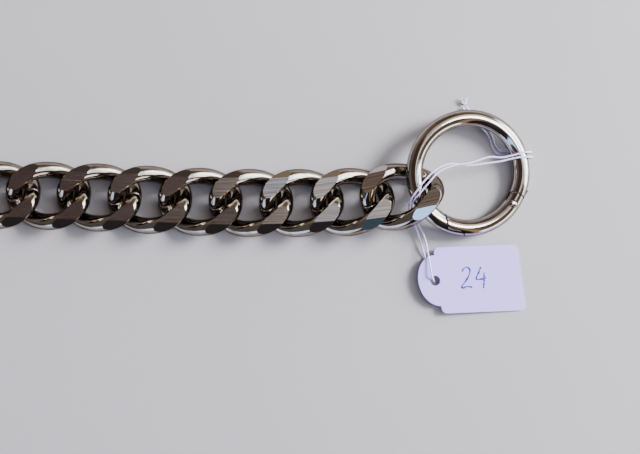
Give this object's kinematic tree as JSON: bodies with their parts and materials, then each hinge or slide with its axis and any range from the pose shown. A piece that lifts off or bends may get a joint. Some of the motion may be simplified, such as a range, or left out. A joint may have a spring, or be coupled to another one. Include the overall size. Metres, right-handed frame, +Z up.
{
  "type": "curb chain with spring ring",
  "caption": "Heavy milled curb chain lying nearly straight, its end link held in a round spring-gate ring, with a card tag tied on by doubled thread.",
  "frame": {"origin": "on the surface the chain lies on, below the middle of the box round the metal pieces", "axes": "+X along the chain towards the ring, +Y across the chain, +Z up from the surface"},
  "size_m": [0.4012, 0.0644, 0.0139],
  "materials": {
    "link_01": "bright nickel plate with brushed milled flats",
    "link_02": "bright nickel plate with brushed milled flats",
    "link_03": "bright nickel plate with brushed milled flats",
    "link_04": "bright nickel plate with brushed milled flats",
    "link_05": "bright nickel plate with brushed milled flats",
    "link_06": "bright nickel plate with brushed milled flats",
    "link_07": "bright nickel plate with brushed milled flats",
    "link_08": "bright nickel plate with brushed milled flats",
    "link_09": "bright nickel plate with brushed milled flats",
    "link_10": "bright nickel plate with brushed milled flats",
    "link_11": "bright nickel plate with brushed milled flats",
    "link_12": "bright nickel plate with brushed milled flats",
    "link_13": "bright nickel plate with brushed milled flats",
    "link_14": "bright nickel plate with brushed milled flats",
    "link_15": "bright nickel plate with brushed milled flats",
    "link_16": "bright nickel plate with brushed milled flats",
    "link_17": "bright nickel plate with brushed milled flats",
    "link_18": "bright nickel plate with brushed milled flats",
    "link_19": "bright nickel plate with brushed milled flats",
    "link_20": "bright nickel plate with brushed milled flats",
    "link_21": "bright nickel plate with brushed milled flats",
    "link_22": "bright nickel plate with brushed milled flats",
    "link_23": "bright nickel plate with brushed milled flats",
    "link_24": "bright nickel plate with brushed milled flats",
    "ring_body": "bright nickel plate",
    "ring_gate": "bright nickel plate",
    "ring_pin": "bright nickel plate",
    "tag": "smooth white card",
    "thread": "twisted white cotton",
    "thread_knot": "twisted white cotton"
  },
  "bodies": {
    "end_link": {"link_01": "link_01", "tag": "tag", "thread": "thread", "thread_knot": "thread_knot"},
    "chain_02": {"link_02": "link_02"},
    "chain_03": {"link_03": "link_03"},
    "chain_04": {"link_04": "link_04"},
    "chain_05": {"link_05": "link_05"},
    "chain_06": {"link_06": "link_06"},
    "chain_07": {"link_07": "link_07"},
    "chain_08": {"link_08": "link_08"},
    "chain_09": {"link_09": "link_09"},
    "chain_10": {"link_10": "link_10"},
    "chain_11": {"link_11": "link_11"},
    "chain_12": {"link_12": "link_12"},
    "chain_13": {"link_13": "link_13"},
    "chain_14": {"link_14": "link_14"},
    "chain_15": {"link_15": "link_15"},
    "chain_16": {"link_16": "link_16"},
    "chain_17": {"link_17": "link_17"},
    "chain_18": {"link_18": "link_18"},
    "chain_19": {"link_19": "link_19"},
    "chain_20": {"link_20": "link_20"},
    "chain_21": {"link_21": "link_21"},
    "chain_22": {"link_22": "link_22"},
    "chain_23": {"link_23": "link_23"},
    "chain_24": {"link_24": "link_24"},
    "ring": {"ring_body": "ring_body", "ring_pin": "ring_pin"},
    "gate": {"ring_gate": "ring_gate"}
  },
  "joints": [
    {"name": "ring_swing", "type": "hinge", "parent": "end_link", "child": "ring", "pos_m": [0.16618, -0.00548, 0.00765], "axis": [-0.3259, 0.9372, 0.1246], "range_deg": [-25, 30], "deforming": ["thread"]},
    {"name": "gate_hinge", "type": "hinge", "parent": "ring", "child": "gate", "pos_m": [0.19491, -0.00905, 0.00255], "axis": [-0.1655, 0.0732, -0.9835], "range_deg": [0, 30], "stiffness_Nm_per_rad": 0.02, "springref_deg": -11.46},
    {"name": "bend_02", "type": "hinge", "parent": "end_link", "child": "chain_02", "pos_m": [0.15428, -0.0075, 0.00465], "axis": [-0.1627, 0.9867, 0], "range_deg": [-5, 15]},
    {"name": "bend_03", "type": "hinge", "parent": "chain_02", "child": "chain_03", "pos_m": [0.13923, -0.00858, 0.00465], "axis": [-0.1038, 0.9946, 0], "range_deg": [-8, 20]},
    {"name": "bend_04", "type": "hinge", "parent": "chain_03", "child": "chain_04", "pos_m": [0.12403, -0.0088, 0.00465], "axis": [0.0509, -0.9987, 0], "range_deg": [-20, 10]},
    {"name": "bend_05", "type": "hinge", "parent": "chain_04", "child": "chain_05", "pos_m": [0.10883, -0.00865, 0.00465], "axis": [0.0085, -1, 0], "range_deg": [-20, 18]},
    {"name": "bend_06", "type": "hinge", "parent": "chain_05", "child": "chain_06", "pos_m": [0.09363, -0.00819, 0.00465], "axis": [-0.0206, -0.9998, 0], "range_deg": [-20, 18]},
    {"name": "bend_07", "type": "hinge", "parent": "chain_06", "child": "chain_07", "pos_m": [0.07843, -0.00755, 0.00465], "axis": [-0.0331, -0.9995, 0], "range_deg": [-20, 20]},
    {"name": "bend_08", "type": "hinge", "parent": "chain_07", "child": "chain_08", "pos_m": [0.06323, -0.00695, 0.00465], "axis": [0.0289, 0.9996, 0], "range_deg": [-20, 20]},
    {"name": "bend_09", "type": "hinge", "parent": "chain_08", "child": "chain_09", "pos_m": [0.04803, -0.00657, 0.00465], "axis": [0.0118, 0.9999, 0], "range_deg": [-20, 20]},
    {"name": "bend_10", "type": "hinge", "parent": "chain_09", "child": "chain_10", "pos_m": [0.03283, -0.00653, 0.00465], "axis": [-0.0111, 0.9999, 0], "range_deg": [-20, 20]},
    {"name": "bend_11", "type": "hinge", "parent": "chain_10", "child": "chain_11", "pos_m": [0.01763, -0.00685, 0.00465], "axis": [-0.0317, 0.9995, 0], "range_deg": [-20, 20]},
    {"name": "bend_12", "type": "hinge", "parent": "chain_11", "child": "chain_12", "pos_m": [0.00243, -0.00742, 0.00465], "axis": [0.0427, -0.9991, 0], "range_deg": [-20, 20]},
    {"name": "bend_13", "type": "hinge", "parent": "chain_12", "child": "chain_13", "pos_m": [-0.01277, -0.00807, 0.00465], "axis": [0.0405, -0.9992, 0], "range_deg": [-20, 20]},
    {"name": "bend_14", "type": "hinge", "parent": "chain_13", "child": "chain_14", "pos_m": [-0.02797, -0.00858, 0.00465], "axis": [0.0255, -0.9997, 0], "range_deg": [-20, 20]},
    {"name": "bend_15", "type": "hinge", "parent": "chain_14", "child": "chain_15", "pos_m": [-0.04317, -0.0088, 0.00465], "axis": [0.0025, -1, 0], "range_deg": [-20, 20]},
    {"name": "bend_16", "type": "hinge", "parent": "chain_15", "child": "chain_16", "pos_m": [-0.05837, -0.00865, 0.00465], "axis": [0.0212, 0.9998, 0], "range_deg": [-20, 20]},
    {"name": "bend_17", "type": "hinge", "parent": "chain_16", "child": "chain_17", "pos_m": [-0.07357, -0.00819, 0.00465], "axis": [0.0382, 0.9993, 0], "range_deg": [-20, 20]},
    {"name": "bend_18", "type": "hinge", "parent": "chain_17", "child": "chain_18", "pos_m": [-0.08877, -0.00755, 0.00465], "axis": [0.0431, 0.9991, 0], "range_deg": [-20, 20]},
    {"name": "bend_19", "type": "hinge", "parent": "chain_18", "child": "chain_19", "pos_m": [-0.10397, -0.00695, 0.00465], "axis": [0.0342, 0.9994, 0], "range_deg": [-20, 20]},
    {"name": "bend_20", "type": "hinge", "parent": "chain_19", "child": "chain_20", "pos_m": [-0.11917, -0.00657, 0.00465], "axis": [-0.0145, -0.9999, 0], "range_deg": [-20, 20]},
    {"name": "bend_21", "type": "hinge", "parent": "chain_20", "child": "chain_21", "pos_m": [-0.13437, -0.00653, 0.00465], "axis": [0.0098, -1, 0], "range_deg": [-20, 20]},
    {"name": "bend_22", "type": "hinge", "parent": "chain_21", "child": "chain_22", "pos_m": [-0.14957, -0.00685, 0.00465], "axis": [0.031, -0.9995, 0], "range_deg": [-20, 20]},
    {"name": "bend_23", "type": "hinge", "parent": "chain_22", "child": "chain_23", "pos_m": [-0.16477, -0.00742, 0.00465], "axis": [0.0424, -0.9991, 0], "range_deg": [-20, 20]},
    {"name": "bend_24", "type": "hinge", "parent": "chain_23", "child": "chain_24", "pos_m": [-0.17997, -0.00807, 0.00465], "axis": [-0.0403, 0.9992, 0], "range_deg": [-20, 20]}
  ]
}
